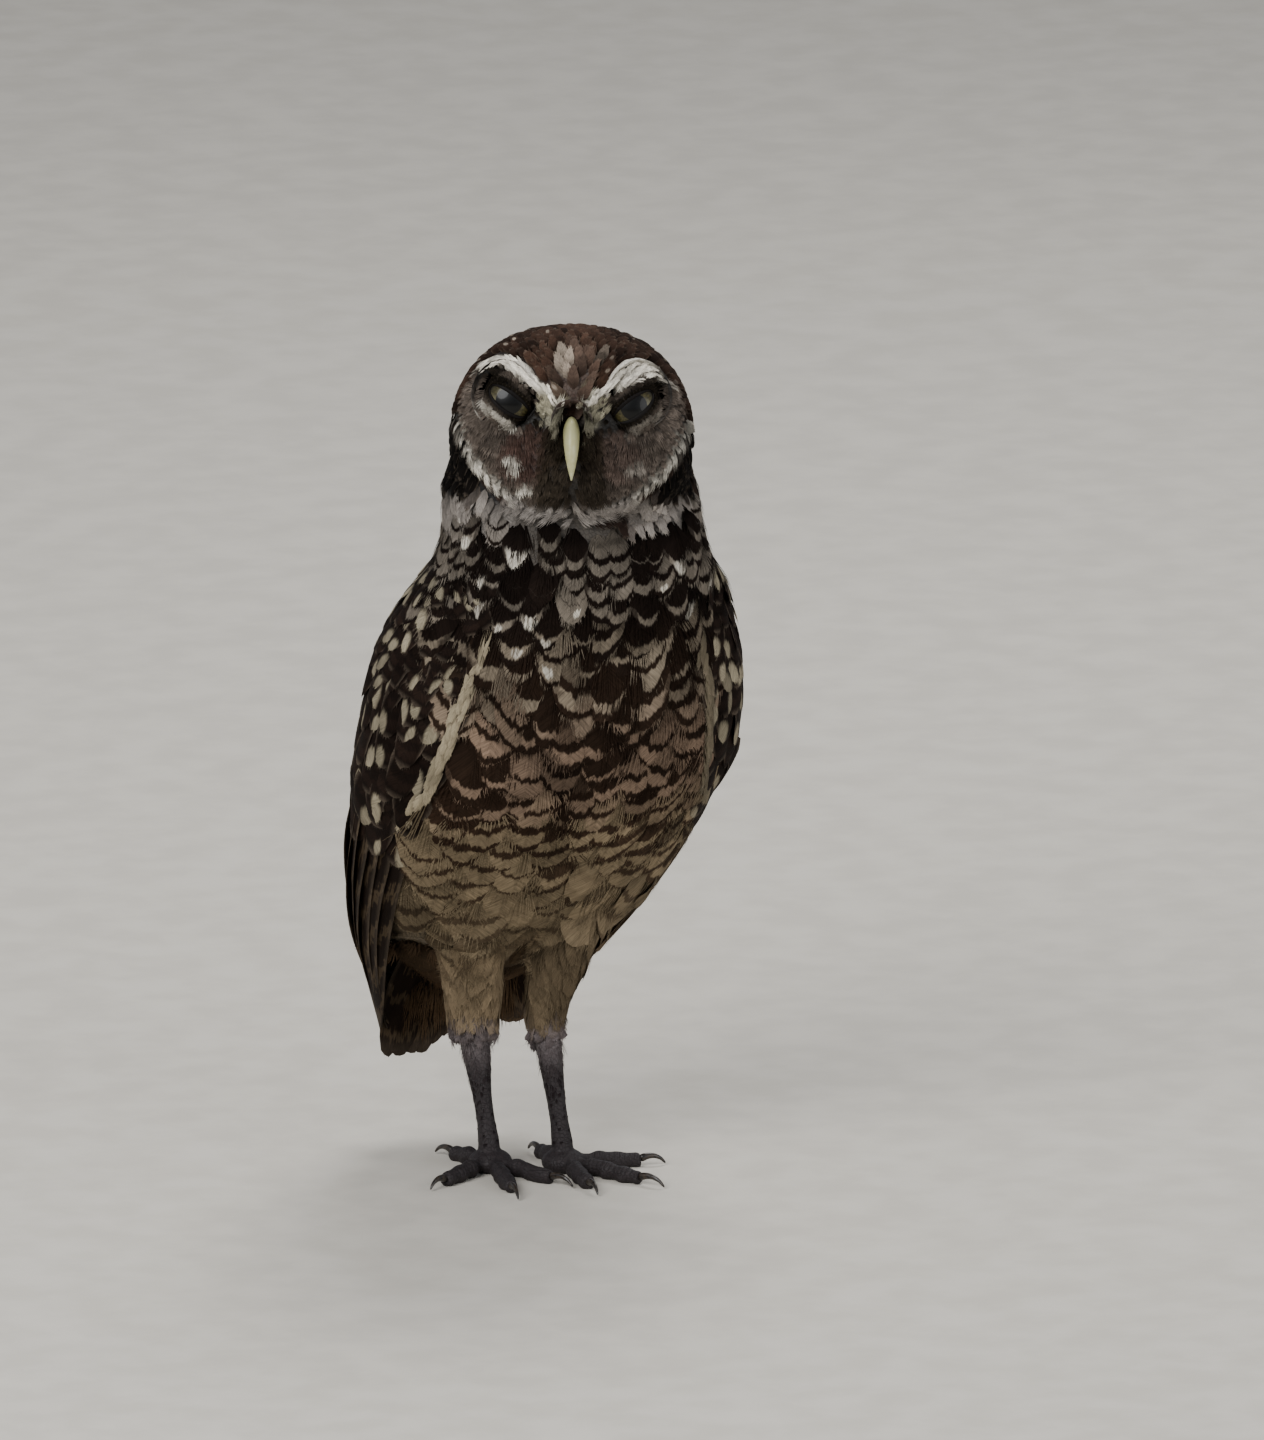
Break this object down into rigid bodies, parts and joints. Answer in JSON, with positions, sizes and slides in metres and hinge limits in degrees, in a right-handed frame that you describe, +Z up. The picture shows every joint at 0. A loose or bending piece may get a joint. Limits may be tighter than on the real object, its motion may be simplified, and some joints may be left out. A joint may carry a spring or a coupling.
{
  "type": "burrowing owl model",
  "caption": "Life-size still model of a small long-legged ground owl standing upright, head turned to its right.",
  "frame": {"origin": "centre of the bounding box, at floor level", "axes": "+Z up, the owl's breast faces -Y and its left side is at +X"},
  "size_m": [0.105, 0.1132, 0.2368],
  "materials": {
    "crown_plumage": "soft brown plumage with pale spots",
    "breast_plumage": "brown plumage barred with buff",
    "wing_plumage": "dark brown plumage with pale spots",
    "tail_plumage": "dark brown feathers with pale bars",
    "thigh_plumage": "plain buff plumage",
    "leg_skin": "grey-brown scaly skin",
    "claw": "dark horn",
    "beak": "greenish-yellow horn",
    "eye": "wet and glossy"
  },
  "bodies": {
    "root": {"head": "crown_plumage", "eye_left": "eye", "eye_right": "eye", "beak_upper": "beak", "beak_lower": "beak", "trunk": "breast_plumage", "neck": "breast_plumage", "tail": "tail_plumage", "wing_coverts_left": "wing_plumage", "wing_flight_left": "wing_plumage", "wing_coverts_right": "wing_plumage", "wing_flight_right": "wing_plumage", "thigh_left": "thigh_plumage", "tarsus_left": "leg_skin", "foot_left": "leg_skin", "toe_left_inner": "leg_skin", "claw_left_inner": "claw", "toe_left_middle": "leg_skin", "claw_left_middle": "claw", "toe_left_outer": "leg_skin", "claw_left_outer": "claw", "toe_left_hind": "leg_skin", "claw_left_hind": "claw", "thigh_right": "thigh_plumage", "tarsus_right": "leg_skin", "foot_right": "leg_skin", "toe_right_inner": "leg_skin", "claw_right_inner": "claw", "toe_right_middle": "leg_skin", "claw_right_middle": "claw", "toe_right_outer": "leg_skin", "claw_right_outer": "claw", "toe_right_hind": "leg_skin", "claw_right_hind": "claw"}
  },
  "joints": []
}
